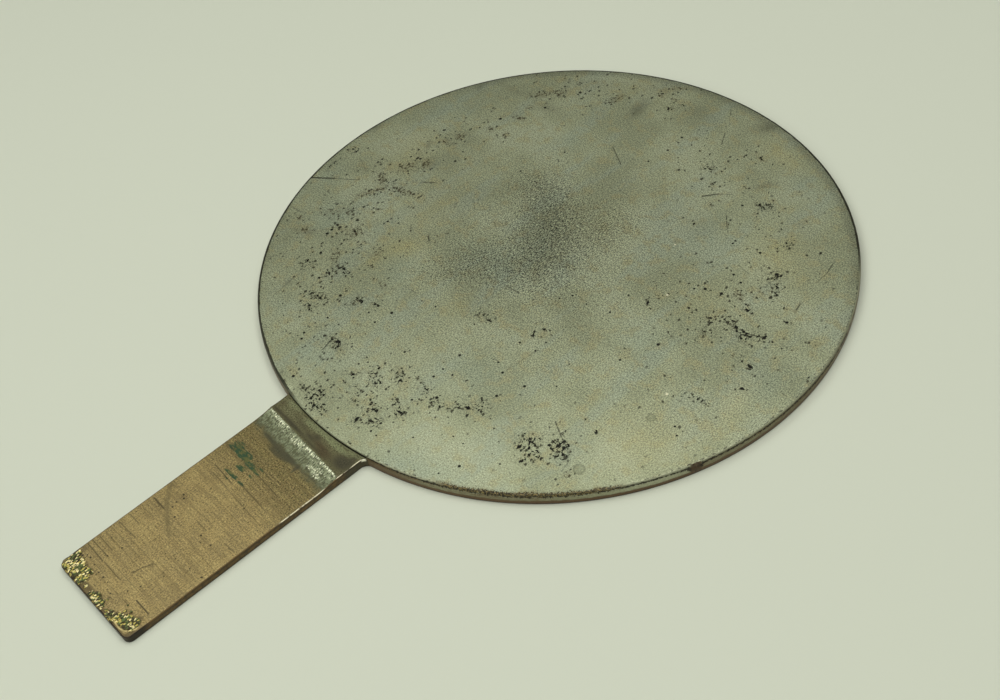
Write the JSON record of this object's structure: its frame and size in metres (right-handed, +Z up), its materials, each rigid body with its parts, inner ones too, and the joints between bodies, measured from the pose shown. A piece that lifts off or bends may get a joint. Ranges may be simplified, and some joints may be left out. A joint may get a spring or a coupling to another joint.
{
  "type": "bronze mirror",
  "caption": "Round cast bronze mirror with a flat handle, lying polished face up, with a raised rim around its sunken back.",
  "frame": {"origin": "middle of the footprint, at the level of the table that the back rim and the handle lie on", "axes": "+Z up out of the polished face, -Y along the handle towards its tip, +X to the right with the handle towards the viewer"},
  "size_m": [0.24, 0.3388, 0.0058],
  "materials": {
    "bronze": "worn grey-green polished face with pits and stains; golden-brown filed handle; brown corroded edges"
  },
  "bodies": {
    "root": {"mirror": "bronze"}
  },
  "joints": []
}
